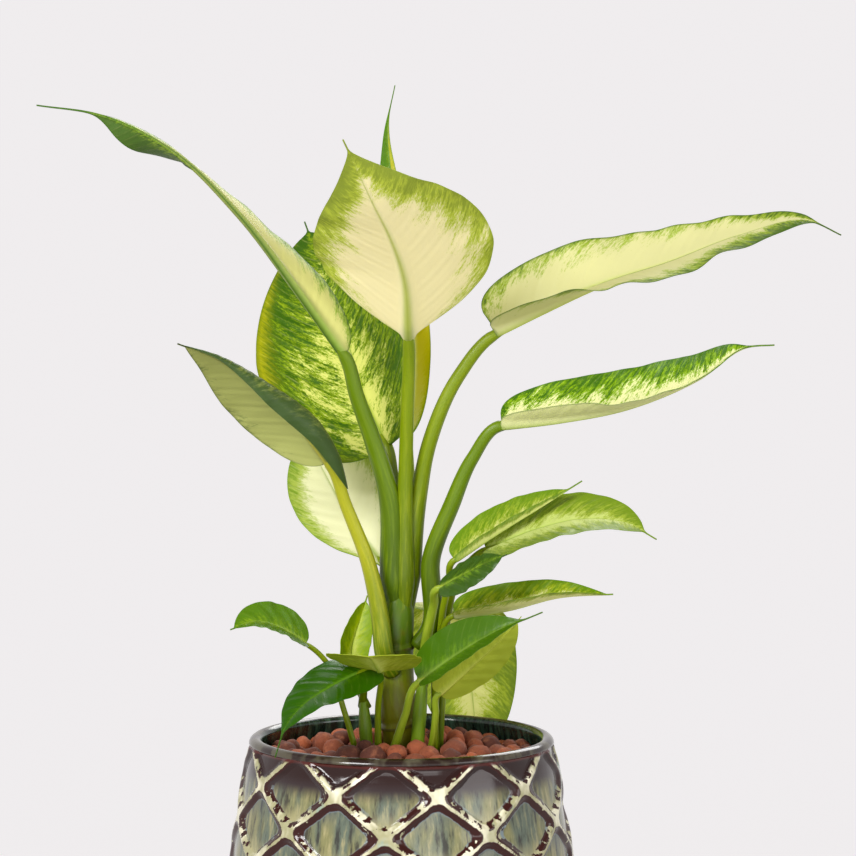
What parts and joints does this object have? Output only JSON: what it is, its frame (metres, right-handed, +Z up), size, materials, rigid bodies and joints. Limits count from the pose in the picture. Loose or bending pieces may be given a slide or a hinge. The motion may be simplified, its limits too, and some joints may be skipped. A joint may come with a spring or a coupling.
{
  "type": "potted dieffenbachia",
  "caption": "Leafy variegated houseplant with cream and green blades on long petioles, in a round glazed pot with a raised diamond lattice, top-dressed with clay pebbles.",
  "frame": {"origin": "centre of the pot's underside, on the pot's axis, in the plane it stands on", "axes": "+Z up along the pot's axis; -Y towards the viewer of the plant's best side; +X to that viewer's right"},
  "size_m": [0.4083, 0.2257, 0.4951],
  "materials": {
    "pot_glaze": "glossy",
    "potting_mix": "matte",
    "clay_pebbles": "matte",
    "stem": "satin",
    "petiole": "satin",
    "leaf": "satin"
  },
  "bodies": {
    "root": {"blade_back_drooping": "leaf", "blade_back_low": "leaf", "blade_back_mottled": "leaf", "blade_back_tall": "leaf", "blade_front_dark": "leaf", "blade_front_olive": "leaf", "blade_front_pale": "leaf", "blade_front_top": "leaf", "blade_left_drooping": "leaf", "blade_left_erect": "leaf", "blade_left_rolled": "leaf", "blade_left_small": "leaf", "blade_long_left": "leaf", "blade_right_crumpled": "leaf", "blade_right_folded": "leaf", "blade_right_lower": "leaf", "blade_right_middle": "leaf", "blade_right_narrow": "leaf", "blade_right_upper": "leaf", "cane": "stem", "pebble_bed": "clay_pebbles", "petiole_back_drooping": "petiole", "petiole_back_low": "petiole", "petiole_back_mottled": "petiole", "petiole_back_tall": "petiole", "petiole_front_dark": "petiole", "petiole_front_olive": "petiole", "petiole_front_pale": "petiole", "petiole_front_top": "petiole", "petiole_left_drooping": "petiole", "petiole_left_erect": "petiole", "petiole_left_rolled": "petiole", "petiole_left_small": "petiole", "petiole_long_left": "petiole", "petiole_right_crumpled": "petiole", "petiole_right_folded": "petiole", "petiole_right_lower": "petiole", "petiole_right_middle": "petiole", "petiole_right_narrow": "petiole", "petiole_right_upper": "petiole", "pot": "pot_glaze", "potting_mix": "potting_mix", "shoot_left": "stem", "shoot_right": "stem"}
  },
  "joints": []
}
